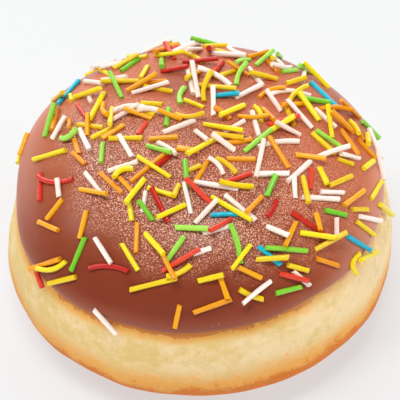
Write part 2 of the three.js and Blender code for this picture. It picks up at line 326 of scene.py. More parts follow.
class Graph:
    """The node tree of one material."""

    def __init__(self, name: str) -> None:
        """Starts a material with an empty node tree.

        Args:
            name: The material's name.
        """
        self.material = bpy.data.materials.new(name)
        self.material.use_nodes = True
        self.tree = self.material.node_tree
        self.tree.nodes.clear()

    def node(
        self,
        kind: str,
        settings: dict[str, object] | None = None,
        inputs: dict[str | int, object] | None = None,
    ) -> bpy.types.Node:
        """Adds a node.

        Args:
            kind: Blender's type name for it.
            settings: Its properties, which are set first.
            inputs: A number, colour, vector, Flow or socket for each input socket, by name or index.

        Returns:
            The node.
        """
        made = self.tree.nodes.new(kind)
        for name, value in (settings or {}).items():
            setattr(made, name, value)
        for key, value in (inputs or {}).items():
            value = value.socket if isinstance(value, Flow) else value
            if isinstance(value, bpy.types.NodeSocket):
                self.tree.links.new(value, made.inputs[key])
            elif isinstance(value, tuple) and made.inputs[key].type == "RGBA":
                made.inputs[key].default_value = (*value, 1.0)
            else:
                made.inputs[key].default_value = value
        return made

    def coordinates(self) -> bpy.types.NodeSocket:
        """The object coordinates."""
        return self.node("ShaderNodeTexCoord").outputs["Object"]

    def along(self, axis: str) -> Flow:
        """How far along "X", "Y" or "Z" a spot lies, in metres."""
        return Flow(self, self.node("ShaderNodeSeparateXYZ", inputs={0: self.coordinates()}).outputs[axis])

    def attribute(self, name: str) -> Flow:
        """A number that the mesh carries."""
        return Flow(self, self.node("ShaderNodeAttribute", {"attribute_name": name}).outputs["Fac"])

    def clouds(self, scale: float, detail: float = 2.0, roughness: float = 0.5) -> Flow:
        """Cloudy noise on object coordinates.

        Args:
            scale: Clouds per metre.
            detail: How many finer layers it has.
            roughness: How strong those are.

        Returns:
            A value about 0, seldom past 0.25 either way.
        """
        inputs = {"Vector": self.coordinates(), "Scale": scale, "Detail": detail, "Roughness": roughness}
        return Flow(self, self.node("ShaderNodeTexNoise", inputs=inputs).outputs["Fac"]) - 0.5

    def pits(self, scale: float, size: float) -> Flow:
        """Sparse round pits.

        Args:
            scale: Pits per metre.
            size: Their radius, as a share of the space between them.

        Returns:
            1 in the middle of a pit, and 0 off it.
        """
        cells = self.node("ShaderNodeTexVoronoi", inputs={"Vector": self.coordinates(), "Scale": scale})
        return self.eased(Flow(self, cells.outputs["Distance"]), size, size * 0.4)

    def eased(self, value: Flow, start: float, end: float, low: float = 0.0, high: float = 1.0) -> Flow:
        """Maps a value smoothly from start..end to low..high, and holds it at both ends.

        Args:
            value: The value.
            start: Where it gives low.
            end: Where it gives high, below start for a fall.
            low: What it gives at and before the start.
            high: What it gives at and past the end.

        Returns:
            The mapped value.
        """
        inputs = {"Value": value, 1: start, 2: end, 3: low, 4: high}
        node = self.node("ShaderNodeMapRange", {"interpolation_type": "SMOOTHSTEP"}, inputs)
        return Flow(self, node.outputs[0])

    def mixed(self, share: Flow | float, first: Colour | Flow, second: Colour | Flow) -> Flow:
        """The first colour where share is 0, the second where it is 1."""
        node = self.node("ShaderNodeMix", {"data_type": "RGBA"}, {0: share, 6: first, 7: second})
        return Flow(self, node.outputs[2])

    def bump(self, height: Flow, distance: float) -> Flow:
        """Turns a height, 1 of which is worth that distance in metres, into a normal."""
        inputs = {"Height": height, "Distance": distance, "Strength": 1.0}
        return Flow(self, self.node("ShaderNodeBump", inputs=inputs).outputs[0])

    def finish(self, inputs: dict[str, object]) -> bpy.types.Material:
        """Ends the material in a Principled shader.

        Args:
            inputs: What its sockets get, by name.

        Returns:
            The material.
        """
        shader = self.node("ShaderNodeBsdfPrincipled", inputs=inputs)
        self.node("ShaderNodeOutputMaterial", inputs={"Surface": shader.outputs[0]})
        return self.material


# ---- Finishes ----


@dataclass(frozen=True)
class DoughFinish:
    """Fried dough: a pale cream band, golden to brown towards the base, and stained along the frosting.

    Heights, and depths below the frosting's edge, are in metres. Blotches, patches, specks and pores are
    counted per metre.
    """

    cream: Colour = srgb(246, 218, 168)
    straw: Colour = srgb(230, 197, 124)
    golden: Colour = srgb(240, 172, 80)
    brown: Colour = srgb(219, 119, 20)
    umber: Colour = srgb(166, 82, 30)
    stain: Colour = srgb(236, 168, 70)
    edge: Colour = srgb(196, 106, 56)
    golden_top: float = 0.0195
    golden_full: float = 0.0130
    brown_full: float = 0.0103
    rise_at_right: float = 0.002
    crumbly_top: float = 0.018
    crumbly_full: float = 0.009
    stain_depth: float = 0.0041
    stain_full: float = 0.0016
    edge_depth: float = 0.0015
    edge_full: float = 0.0009
    blotches: float = 120
    patches: float = 420
    specks: float = 1900
    pores: float = 520

    def material(self) -> bpy.types.Material:
        """Makes the material.

        Returns:
            The material, which reads how far each spot lies below the frosting's edge.
        """
        graph = Graph("dough_crust")
        blotches = graph.clouds(self.blotches, detail=4, roughness=0.6)
        patches = graph.clouds(self.patches, detail=3, roughness=0.6)
        specks = graph.clouds(self.specks, detail=3, roughness=0.7)
        crust = self.crust(graph, blotches, patches, specks)
        ragged = blotches * 0.003 + patches * 0.003 + specks * 0.002
        relief = graph.clouds(self.pores, detail=3, roughness=0.6) * 0.5 + specks * 0.6
        return graph.finish(
            {
                "Base Color": self.stained(graph, crust, ragged),
                "Roughness": 0.6,
                "Specular IOR Level": 0.35,
                "Subsurface Weight": 0.12,
                "Subsurface Radius": (0.004, 0.002, 0.001),
                "Subsurface Scale": 1.0,
                "Normal": graph.bump(relief, 0.0005),
            }
        )

    def crust(self, graph: Graph, blotches: Flow, patches: Flow, specks: Flow) -> Flow:
        """The browning: ragged bands, which reach a little higher at the right.

        Args:
            graph: The material's nodes.
            blotches: Broad clouds.
            patches: Middling clouds.
            specks: Fine clouds.

        Returns:
            The colour.
        """
        height, aside = graph.along("Z"), graph.along("X")
        mottled = blotches + patches * 0.7 + specks * 0.35
        pale = graph.mixed(graph.eased(mottled - aside * 3, -0.2, 0.2), self.cream, self.straw)
        ragged = height - graph.eased(aside, 0.0, 0.02, high=self.rise_at_right)
        ragged = ragged + blotches * 0.008 + patches * 0.007 + specks * 0.007
        golden = graph.mixed(graph.eased(ragged, self.golden_full, self.golden_top), self.golden, pale)
        crust = graph.mixed(graph.eased(ragged, self.brown_full, self.golden_full), self.brown, golden)
        crumbly = graph.eased(specks + patches * 0.6, 0.02, 0.15)
        low = graph.eased(height, self.crumbly_top, self.crumbly_full)
        return graph.mixed(crumbly * low * 0.5, crust, self.umber)

    def stained(self, graph: Graph, crust: Flow, ragged: Flow) -> Flow:
        """The stain and the thin brown line that the frosting leaves below its edge, faint at the right.

        Args:
            graph: The material's nodes.
            crust: The colour elsewhere.
            ragged: How far the stain wanders, in metres.

        Returns:
            The colour.
        """
        below = graph.attribute(BELOW_EDGE) + ragged
        dipped = graph.eased(graph.along("X"), 0.034, 0.018, low=0.3)
        soaked = dipped * graph.eased(below, self.stain_depth, self.stain_full, high=0.9)
        lined = dipped * graph.eased(below, self.edge_depth, self.edge_full, high=0.75)
        return graph.mixed(lined, graph.mixed(soaked, crust, self.stain), self.edge)


@dataclass(frozen=True)
class FrostingFinish:
    """Milk chocolate frosting: dark and smooth in a band along its edge, paler and sugar-grained within.
    Painted shade darkens it towards the front, painted sheen lightens it behind and along its edge, and its
    light sugar flecks are partly painted glints.

    Clouds, grains, ripples and bubbles are counted per metre.
    """

    # The band's colour from the front to behind: deepened by painted shade, then lightened by painted
    # sheen; then the plainer tone low down behind.
    dark_painted_shade: Colour = srgb(123, 51, 30)
    pale: Colour = srgb(200, 111, 73)
    rear: Colour = srgb(150, 72, 44)
    # The crown's colour from the front left to behind: deepened by painted shade, then lightened by painted
    # light.
    inner_painted_shade: Colour = srgb(154, 72, 42)
    inner_painted_light: Colour = srgb(192, 101, 66)
    # Light sugar flecks, partly painted glints where the crown catches the light.
    fleck_and_glint: Colour = srgb(240, 192, 164)
    hollow: Colour = srgb(134, 60, 38)
    # The thinning edge's lighter tone, partly painted sheen; the pink at the right of the edge is painted
    # sheen.
    edge: Colour = srgb(160, 88, 64)
    rim_painted_sheen: Colour = srgb(222, 164, 142)
    bubble: Colour = srgb(196, 132, 110)
    smooth_roughness: float = 0.32
    grained_roughness: float = 0.45
    clouds: float = 70
    grains: float = 3100
    ripples: float = 260
    bubbles: float = 150

    def material(self) -> bpy.types.Material:
        """Makes the material.

        Returns:
            The material, which reads how far down the frosting each spot lies.
        """
        graph = Graph("chocolate_frosting")
        share, aside = graph.attribute(SHARE), graph.along("X")
        clouds = graph.clouds(self.clouds, detail=3)
        grain = graph.clouds(self.grains, detail=1, roughness=0.6)
        # The way along which the painted shade and painted sheen of the band and the crown run.
        behind = graph.along("Y") + aside * 0.25 + clouds * 0.012
        grained = graph.eased(share - aside * 3 + clouds * 0.35, 0.82, 0.58)
        # Where the sugar flecks and their painted glints gather: most at the front of the grained crown,
        # less at the right.
        crystals_and_glints = grained * graph.eased(behind, 0.016, -0.012, low=0.15, high=0.9)
        crystals_and_glints = crystals_and_glints * graph.eased(aside, 0.006, 0.03, 1.0, 0.6)
        even = graph.mixed(grained, self.band(graph, share, behind), self.inner(graph, behind, clouds))
        # Light flecks on the grain's crests: sugar, partly painted glints.
        flecks_and_glints = graph.mixed(crystals_and_glints * graph.eased(grain, 0.01, 0.13), even, self.fleck_and_glint)
        sunk = graph.mixed(crystals_and_glints * graph.eased(grain, -0.02, -0.14), flecks_and_glints, self.hollow)
        bubbles = graph.pits(self.bubbles, 0.06) * graph.eased(share, 0.7, 0.85)
        colour = graph.mixed(bubbles * 0.45, self.faded(graph, sunk, share, grain), self.bubble)
        relief = grain * (0.2 + grained * 2.4) + graph.clouds(self.ripples) * 0.5 - bubbles * 2.4
        rougher = self.grained_roughness - self.smooth_roughness
        return graph.finish(
            {
                "Base Color": colour,
                "Roughness": self.smooth_roughness + grained * rougher,
                "Specular IOR Level": 0.28,
                "Coat Weight": crystals_and_glints * 0.6,
                "Coat Roughness": 0.32,
                "Normal": graph.bump(relief, 0.0001),
            }
        )

    def band(self, graph: Graph, share: Flow, behind: Flow) -> Flow:
        """The smooth band above the edge: painted shade darkens it at the front, painted sheen makes it
        paler behind, and it is dark again low down there.

        Args:
            graph: The material's nodes.
            share: How far down the frosting a spot lies, 0 to 1.
            behind: How far behind the axis it lies, in metres.

        Returns:
            The colour.
        """
        # Painted shade at the front, fading into a painted sheen behind.
        painted_shading = graph.mixed(graph.eased(behind, -0.045, 0.02), self.dark_painted_shade, self.pale)
        turned_away = graph.eased(share, 0.62, 0.8) * graph.eased(behind, 0.01, 0.025)
        return graph.mixed(turned_away, painted_shading, self.rear)

    def inner(self, graph: Graph, behind: Flow, clouds: Flow) -> Flow:
        """The grained crown: painted shade deepens it towards the front left, painted light makes it paler
        behind and to the right, and soft clouds deepen it at random.

        Args:
            graph: The material's nodes.
            behind: How far behind the axis a spot lies, in metres.
            clouds: Broad clouds.

        Returns:
            The colour.
        """
        # Painted shade towards the front left, painted light behind and to the right.
        painted_shading = graph.eased(behind + graph.along("X") * 0.3, -0.032, 0.012)
        crown = graph.mixed(painted_shading, self.inner_painted_shade, self.inner_painted_light)
        return graph.mixed(graph.eased(clouds, 0.0, 0.14, high=0.55), crown, self.hollow)

    def faded(self, graph: Graph, within: Flow, share: Flow, grain: Flow) -> Flow:
        """The frosting's edge, where it thins and fades into a lighter tone that is partly painted sheen,
        and takes a pink painted sheen at the right.

        Args:
            graph: The material's nodes.
            within: The colour elsewhere.
            share: How far down the frosting a spot lies, 0 to 1.
            grain: Fine clouds.

        Returns:
            The colour.
        """
        # The edge thins into a lighter tone, partly painted sheen.
        thinned_and_sheened = graph.mixed(graph.eased(share + grain * 0.02, 0.9, 1.0, high=0.6), within, self.edge)
        # A pink painted sheen along the edge at the right.
        painted_sheen_share = graph.eased(share, 0.8, 1.0) * graph.eased(graph.along("X"), 0.025, 0.043, high=0.65)
        return graph.mixed(painted_sheen_share, thinned_and_sheened, self.rim_painted_sheen)


@dataclass(frozen=True)
class Dye:
    """A colour in the mix: the plain one, the one that its batches drift to, and its share of the mix."""

    plain: Colour
    drifted: Colour
    share: float


class SprinkleColour(Enum):
    """The colours in the mix."""

    YELLOW = Dye(srgb(242, 220, 14), srgb(228, 186, 12), 0.42)
    ORANGE = Dye(srgb(242, 168, 6), srgb(230, 142, 10), 0.19)
    GREEN = Dye(srgb(116, 198, 40), srgb(170, 226, 86), 0.12)
    RED = Dye(srgb(188, 24, 14), srgb(232, 74, 50), 0.085)
    WHITE = Dye(srgb(246, 232, 222), srgb(243, 220, 204), 0.235)
    BLUE = Dye(srgb(0, 170, 198), srgb(26, 200, 226), 0.004)


YELLOW, ORANGE, GREEN, RED, WHITE, BLUE = SprinkleColour


@dataclass(frozen=True)
class SprinkleFinish:
    """Pressed sugar in one colour, with a soft shine, a little different from rod to rod."""

    colour: SprinkleColour
    powder: float = 1400
    dimples: float = 1500

    def material(self) -> bpy.types.Material:
        """Makes the material.

        Returns:
            The material, which reads the batch that each rod is from.
        """
        graph = Graph(f"sugar_{self.colour.name.lower()}")
        dye = self.colour.value
        drift = graph.attribute(BATCH) * 0.85 + graph.clouds(self.powder, detail=3, roughness=0.6) * 0.5
        return graph.finish(
            {
                "Base Color": graph.mixed(graph.eased(drift, 0.1, 0.9), dye.plain, dye.drifted),
                "Roughness": 0.27,
                "Specular IOR Level": 0.65,
                "Normal": graph.bump(graph.clouds(self.dimples), 0.00008),
            }
        )


# ---- Helpers for objects and meshes ----


def into_scene(name: str, data: bpy.types.ID) -> bpy.types.Object:
    """Puts a mesh, light or camera into the scene as an object.

    Args:
        name: The object's name.
        data: The mesh, light or camera.

    Returns:
        The object, at the origin.
    """
    placed = bpy.data.objects.new(name, data)
    bpy.context.scene.collection.objects.link(placed)
    return placed


def mesh_from(name: str, mesh_maker: bmesh.types.BMesh) -> bpy.types.Mesh:
    """Turns a bmesh into a mesh, and frees it.

    Args:
        name: The mesh's name.
        mesh_maker: The bmesh.

    Returns:
        The mesh.
    """
    mesh = bpy.data.meshes.new(name)
    mesh_maker.to_mesh(mesh)
    mesh_maker.free()
    return mesh


def placed_object(
    name: str, mesh_maker: bmesh.types.BMesh, material: bpy.types.Material, node: str
) -> bpy.types.Object:
    """Turns a finished bmesh into a piece of the doughnut.

    Args:
        name: The piece's name.
        mesh_maker: Its geometry, in place. It is freed.
        material: Its finish.
        node: The solid that it stands for.

    Returns:
        The piece, at the origin.
    """
    for face in mesh_maker.faces:
        face.smooth = True
    piece = into_scene(name, mesh_from(name, mesh_maker))
    piece.data.materials.append(material)
    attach(piece, BODY)
    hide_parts(node)
    return piece


def coordinates_of(mesh_maker: bmesh.types.BMesh) -> np.ndarray:
    """The vertices' places as an array."""
    return np.array([vertex.co for vertex in mesh_maker.verts], dtype=float)


def move_to(mesh_maker: bmesh.types.BMesh, places: np.ndarray) -> None:
    """Puts each vertex at its place."""
    for vertex, place in zip(mesh_maker.verts, places, strict=True):
        vertex.co = place


def carry(piece: bpy.types.Object, name: str, values: np.ndarray) -> None:
    """Gives each of a piece's vertices a number, which its material reads."""
    carried = piece.data.attributes.new(name, "FLOAT", "POINT")
    carried.data.foreach_set("value", values.astype(np.float32))


# ---- Dough ----


@dataclass(frozen=True)
class Dough:
    """The round of dough, from its flat spot to the crown under the frosting."""

    form: Form
    segments: int = 288
    rings: int = 144
    ripples: tuple[Swell, ...] = (
        Swell(0.000175, ((9, 0, 4, 0.6), (0, 11, -3, 0))),
        Swell(0.000075, ((23, 0, -17, 2.0), (0, 19, 13, 1.1))),
    )
    least_below: float = -0.01
    most_below: float = 0.05

    def build(self) -> bpy.types.Object:
        """Makes the piece: a sphere whose vertices are moved onto the form, with low ripples in the crust.

        Returns:
            The dough, which carries how far each vertex lies below the frosting's edge.
        """
        ball = bmesh.new()
        bmesh.ops.create_uvsphere(ball, u_segments=self.segments, v_segments=self.rings, radius=1.0)
        out = coordinates_of(ball)
        turn = np.arctan2(out[:, 1], out[:, 0])
        latitude = np.arcsin(np.clip(out[:, 2], -1, 1))
        move_to(ball, self.form.point(turn, latitude, sum(ripple.lift(out) for ripple in self.ripples)))
        bmesh.ops.recalc_face_normals(ball, faces=ball.faces)
        piece = placed_object("dough_round", ball, DoughFinish().material(), "dough")
        below = (self.form.rim_latitude(turn) - latitude) * self.form.waist_radius
        carry(piece, BELOW_EDGE, np.clip(below, self.least_below, self.most_below))
        return piece


# ---- Frosting ----


@dataclass(frozen=True)
class Frosting:
    """The chocolate frosting: a closed skin with a rounded nose for an edge.

    A station of its profile is a share of the way down, 0 to 1, and a layer: 1 on the outside, -1 on the
    inside, which sinks a little into the dough.
    """

    form: Form
    segments: int = 320
    outer_rings: int = 110
    nose_rings: int = 11
    inner_rings: int = 24
    nose_share: float = 0.955
    inner_share: float = 0.995
    sink: float = 0.0002
    spread: float = 0.25

    def profile(self) -> list[tuple[float, float]]:
        """The stations from the crown down the outside, round the nose and up the inside.

        Returns:
            Each station's share and layer.
        """
        outside = [(share, 1.0) for share in np.linspace(0, self.nose_share, self.outer_rings)]
        nose = [
            (self.nose_share + (1 - self.nose_share) * math.sin(angle), math.cos(angle))
            for angle in np.linspace(0, math.pi / 2, self.nose_rings + 1)[1:]
        ]
        inside = [(share, -1.0) for share in np.linspace(self.inner_share, 0, self.inner_rings)]
        return [*outside, *nose, *inside]

    def build(self) -> bpy.types.Object:
        """Makes the piece: the profile is spun as a thick shell about a unit ball, and moved onto the form.

        Returns:
            The frosting, which carries each vertex's share.
        """
        skin = bmesh.new()
        chain = []
        for share, layer in self.profile():
            radius = 1 + self.spread * layer
            chain.append(skin.verts.new((radius * math.sin(share), 0, radius * math.cos(share))))
        edges = [skin.edges.new(pair) for pair in zip(chain, chain[1:])]
        bmesh.ops.spin(
            skin,
            geom=[*chain, *edges],
            cent=(0, 0, 0),
            axis=(0, 0, 1),
            angle=2 * math.pi,
            steps=self.segments,
            use_merge=True,
        )
        bmesh.ops.remove_doubles(skin, verts=skin.verts, dist=MERGE_DISTANCE)
        bmesh.ops.recalc_face_normals(skin, faces=skin.faces)
        places = coordinates_of(skin)
        turn = np.arctan2(places[:, 1], places[:, 0])
        share = np.arctan2(np.hypot(places[:, 0], places[:, 1]), places[:, 2])
        layer = (np.linalg.norm(places, axis=1) - 1) / self.spread
        thick = self.form.fit_gap + self.form.frosting_depth(share)
        off = np.where(layer >= 0, layer * thick, layer * self.sink)
        move_to(skin, self.form.point(turn, self.form.frosted_latitude(turn, share), off))
        piece = placed_object("frosting_skin", skin, FrostingFinish().material(), "frosting")
        carry(piece, SHARE, share)
        return piece


# ---- Sprinkles ----


@dataclass(frozen=True)
class Standout:
    """A sprinkle whose place was measured: alone near the edge, or over the rest.

    Angles are in degrees, and the length is in metres.
    """

    colour: SprinkleColour
    turn: float
    share: float
    heading: float
    length: float
    bend: float = 0.0


@dataclass
class Sprinkle:
    """One rod of sugar. points are its near end, middle and far end once it has settled."""

    turn: float
    share: float
    heading: float
    length: float
    radius: float
    bend: float
    kept: bool = True
    colour: SprinkleColour | None = None
    points: np.ndarray = field(default_factory=lambda: np.zeros((3, 3)))


@dataclass
class Draws:
    """Repeatable draws between 0 and 1, by a plain linear congruence."""

    state: int
    factor: int = 1664525
    step: int = 1013904223
    span: int = 2**32

    def next(self) -> float:
        """The next draw."""
        self.state = (self.state * self.factor + self.step) % self.span
        return self.state / self.span

    def between(self, low: float, high: float) -> float:
        """The next draw, spread from low to high."""
        return low + (high - low) * self.next()


def nearest_between(first: np.ndarray, rest: np.ndarray) -> np.ndarray:
    """The least distances between one segment and many.

    Args:
        first: The segment's two ends, 2 by 3.
        rest: The others' ends, n by 2 by 3.

    Returns:
        n distances.
    """
    one = first[1] - first[0]
    other = rest[:, 1] - rest[:, 0]
    apart = first[0] - rest[:, 0]
    one_one, one_other, one_apart = one @ one, other @ one, apart @ one
    other_other = np.einsum("ij,ij->i", other, other)
    other_apart = np.einsum("ij,ij->i", other, apart)
    spread = one_one * other_other - one_other * one_other
    crossing = spread > PARALLEL_SPREAD
    along_one = (one_other * other_apart - other_other * one_apart) / np.where(crossing, spread, 1)
    along_one = np.where(crossing, along_one, 0).clip(0, 1)
    along_other = ((one_other * along_one + other_apart) / other_other).clip(0, 1)
    along_one = ((one_other * along_other - one_apart) / one_one).clip(0, 1)
    return np.linalg.norm(apart + one * along_one[:, None] - other * along_other[:, None], axis=1)


@dataclass
class Dyeing:
    """Which colour each sprinkle has: by its share of the mix, and seldom that of one close by."""

    close_by: float = 0.0038
    most_draws: int = 3
    draws: Draws = field(default_factory=lambda: Draws(DYE_SEED))

    def random_colour(self) -> SprinkleColour:
        """Draws a colour by its share of the mix.

        Returns:
            The colour, yellow if rounding leaves none.
        """
        left = self.draws.next() * sum(colour.value.share for colour in SprinkleColour)
        for colour in SprinkleColour:
            left -= colour.value.share
            if left < 0:
                return colour
        return YELLOW

    def colour_beside(self, sprinkle: Sprinkle, lying: list[Sprinkle]) -> SprinkleColour:
        """Draws a colour, and draws again if one that lies close by has it, up to most_draws in all.

        Args:
            sprinkle: The sprinkle, settled.
            lying: Those that lie there already.

        Returns:
            The colour.
        """
        middle = sprinkle.points[1]
        beside = {other.colour for other in lying if math.dist(other.points[1], middle) < self.close_by}
        for _ in range(self.most_draws - 1):
            colour = self.random_colour()
            if colour not in beside:
                return colour
        return self.random_colour()


# Those that lie near the edge or stand out over the rest, in the order in which they are laid.
STANDOUTS: tuple[Standout, ...] = (
    Standout(ORANGE, -140, 0.69, -60, 0.0065),
    Standout(GREEN, -135, 0.79, -81, 0.0082),
    Standout(ORANGE, -144, 0.92, 52, 0.01),
    Standout(YELLOW, -140.5, 0.91, 48, 0.0085, 30),
    Standout(RED, -123, 0.77, 16, 0.0095, -20),
    Standout(WHITE, -119, 1, -40, 0.0075),
    Standout(YELLOW, -106, 0.79, 25, 0.011),
    Standout(ORANGE, -97, 0.91, -100, 0.0055),
    Standout(ORANGE, -86, 0.87, 13, 0.009),
    Standout(ORANGE, -82, 0.8, -80, 0.0055),
    Standout(WHITE, -55, 0.88, -64, 0.0055),
    Standout(YELLOW, -36, 0.96, -130, 0.006, 80),
    Standout(BLUE, -30, 0.92, -67, 0.008),
    Standout(BLUE, -63, 0.73, -64, 0.0065),
    Standout(BLUE, -76, 0.5, -12, 0.0065),
    Standout(BLUE, 31, 0.72, 8, 0.0095),
    Standout(BLUE, 148, 0.72, 3, 0.009),
    Standout(WHITE, 36, 0.54, -109, 0.011, -35),
    Standout(WHITE, -9, 0.39, -66, 0.01, -15),
    Standout(RED, -168, 0.77, -13, 0.008),
    Standout(RED, -165, 0.7, 50, 0.011, 25),
    Standout(ORANGE, -151, 0.8, 25, 0.0069),
    Standout(ORANGE, -154, 0.74, -81, 0.0059),
    Standout(YELLOW, -136, 0.92, 46, 0.0081),
    Standout(RED, -144, 1, -39, 0.004),
    Standout(YELLOW, -29, 1, -33, 0.0083),
    Standout(GREEN, 20, 0.95, -91, 0.0084),
    Standout(ORANGE, 162, 0.955, -12, 0.006),
    Standout(YELLOW, 163, 1.01, 12, 0.006),
    Standout(RED, -42, 0.71, -67, 0.0106),
    Standout(GREEN, -56, 0.74, -31, 0.0103),
    Standout(YELLOW, -72, 0.49, -57, 0.011),
    Standout(WHITE, -67, 0.49, -67, 0.009),
    Standout(YELLOW, -10, 1.005, -66, 0.009),
    Standout(WHITE, -20, 0.91, -56, 0.008),
    Standout(YELLOW, -21, 0.84, -49, 0.0053),
    Standout(WHITE, -24, 0.69, -53, 0.0061),
    Standout(WHITE, -30, 0.66, -51, 0.0093),
    Standout(WHITE, -34, 0.79, -137, 0.0046),
    Standout(ORANGE, -44, 0.88, -45, 0.0062),
    Standout(YELLOW, -55, 0.83, -41, 0.0056),
    Standout(WHITE, 55, 0.48, 152, 0.0074),
    Standout(WHITE, 48, 0.36, -97, 0.0079),
    Standout(WHITE, 30, 0.42, -177, 0.0065),
    Standout(BLUE, 60, 0.26, -148, 0.0061),
    Standout(WHITE, 98, 0.35, 91, 0.0106),
    Standout(WHITE, 94, 0.32, 93, 0.0104),
    Standout(YELLOW, 180, 0.7, 69, 0.0106),
    Standout(WHITE, -152, 0.55, 2, 0.007),
    Standout(WHITE, -150, 0.41, 73, 0.0071),
)


@dataclass
class Strewing:
    """How the sprinkles fell: the same rule and the same draws as the solids.

    The standouts are laid first. The rest thin out at strewn_share of the way down, further down towards +X
    and the front, and leave a bare sweep at the front left. Those whose draw passes bent_from are bent, by
    bend_spread radians for each unit past its middle. Each lies flat, or leans on those that lie there.
    Lengths are in metres and the other angles in degrees.
    """

    form: Form
    count: int = 262
    least_radius: float = 0.00055
    most_radius: float = 0.00068
    least_length: float = 0.003
    most_length: float = 0.0106
    sink: float = 0.00036
    bite: float = 0.00018
    steepest_pitch: int = 22
    bent_from: float = 0.82
    bend_spread: float = 9.0
    strewn_share: float = 0.77
    strewn_blur: float = 0.04
    reach_at_x: float = 0.1
    reach_at_y: float = 0.04
    sweep_turn: float = -140.4
    sweep_width: float = 40.1
    sweep_from: float = 0.56
    sweep_blur: float = 0.04
    sweep_bareness: float = 0.96
    nudge: float = 0.01
    standouts: tuple[Standout, ...] = STANDOUTS
    draws: Draws = field(default_factory=lambda: Draws(LAYOUT_SEED))
    dyeing: Dyeing = field(default_factory=Dyeing)

    def landing_share(self, turn: float, plan: float) -> float:
        """Sprinkles fall straight down: the share at which one lands that far from the axis.

        Args:
            turn: The angle about the axis, in radians.
            plan: The distance from the axis, 0 to 1 of the waist radius.

        Returns:
            The share.
        """
        full = self.form.crown_fullness
        height = self.form.crown_rise * (1 - plan**full) ** (1 / full)
        latitude = math.atan2(height, self.form.waist_radius * plan)
        return (math.pi / 2 - latitude) / (math.pi / 2 - self.form.rim_latitude(turn))

    @staticmethod
    def fading(value: float, limit: float, blur: float) -> float:
        """What falls from 1 to 0 as value passes limit, over a few times blur."""
        return 1 / (1 + math.exp((value - limit) / blur))

    def strewn(self, turn: float, share: float) -> float:
        """How thickly a spot was strewn: full over the crown, with a bare sweep at the front left.

        Args:
            turn: The angle about the axis, in radians.
            share: How far down the frosting it lies, 0 to 1.

        Returns:
            The chance that a sprinkle which falls there stays, 0 to 1.
        """
        reach = self.strewn_share + self.reach_at_x * math.cos(turn) - self.reach_at_y * math.sin(turn)
        aside = math.exp(-(((turn - math.radians(self.sweep_turn)) / math.radians(self.sweep_width)) ** 2))
        below = 1 - self.fading(share, self.sweep_from, self.sweep_blur)
        return self.fading(share, reach, self.strewn_blur) * (1 - self.sweep_bareness * aside * below)

    def random_sprinkle(self) -> Sprinkle:
        """Draws one.

        Returns:
            The sprinkle, not yet settled or coloured.
        """
        draw = self.draws.next
        turn = math.pi * (2 * draw() - 1)
        share = self.landing_share(turn, math.sqrt(draw()))
        heading = 2 * math.pi * draw()
        long = (draw() + draw()) / 2
        radius = self.draws.between(self.least_radius, self.most_radius)
        curl = draw()
        return Sprinkle(
            turn=turn,
            share=share,
            heading=heading,
            length=self.least_length + (self.most_length - self.least_length) * long,
            radius=radius,
            bend=(curl - (1 + self.bent_from) / 2) * self.bend_spread if curl > self.bent_from else 0.0,
            kept=draw() < self.strewn(turn, share),
        )

    def candidates(self) -> Iterator[Sprinkle]:
        """The standouts first, then random ones without end.

        Yields:
            The next sprinkle to lay down.
        """
        for standout in self.standouts:
            yield Sprinkle(
                turn=math.radians(standout.turn),
                share=standout.share,
                heading=math.radians(standout.heading),
                length=standout.length,
                radius=(self.least_radius + self.most_radius) / 2,
                bend=math.radians(standout.bend),
                colour=standout.colour,
            )
        while True:
            yield self.random_sprinkle()

    def directions(self, turn: float, share: float) -> tuple[np.ndarray, ...]:
        """A spot on the frosting and its directions.

        Args:
            turn: The angle about the axis, in radians.
            share: How far down the frosting it lies, 0 to 1.

        Returns:
            The spot, and unit vectors round the doughnut, up the slope and straight out.
        """
        spot = self.form.on_frosting(turn, share)
        around = self.form.on_frosting(turn + self.nudge, share) - spot
        outward = np.cross(around, self.form.on_frosting(turn, share - self.nudge) - spot)
        around /= np.linalg.norm(around)
        outward /= np.linalg.norm(outward)
        return spot, around, np.cross(outward, around), outward

    def poses(self, sprinkle: Sprinkle) -> Iterator[np.ndarray]:
        """The ways in which it can lie at its spot: flat, then leaning ever more steeply on either end.

        Args:
            sprinkle: The sprinkle.

        Yields:
            Its near end, middle and far end.
        """
        spot, around, upslope, outward = self.directions(sprinkle.turn, sprinkle.share)
        middle = spot + outward * (sprinkle.radius - self.sink)

        def along(angle: float) -> np.ndarray:
            """The direction at that heading."""
            return around * math.cos(angle) + upslope * math.sin(angle)

        leanings = []
        turned_about = (sprinkle.heading + math.pi, -sprinkle.bend)
        for heading, bend in ((sprinkle.heading, sprinkle.bend), turned_about):
            near = middle - along(heading - bend / 2) * (sprinkle.length / 2)
            far = middle + along(heading + bend / 2) * (sprinkle.length / 2)
            hinge = Vector(np.cross(along(heading), outward))
            settled = outward * (sprinkle.radius - self.sink - self.form.height_over(near))
            leanings.append((np.stack([near, middle, far]), hinge, settled))
        yield leanings[0][0]
        for pitch in range(1, self.steepest_pitch + 1):
            for points, hinge, settled in leanings:
                lift = np.array(Matrix.Rotation(math.radians(pitch), 3, hinge))
                yield (points - points[0]) @ lift.T + points[0] + settled

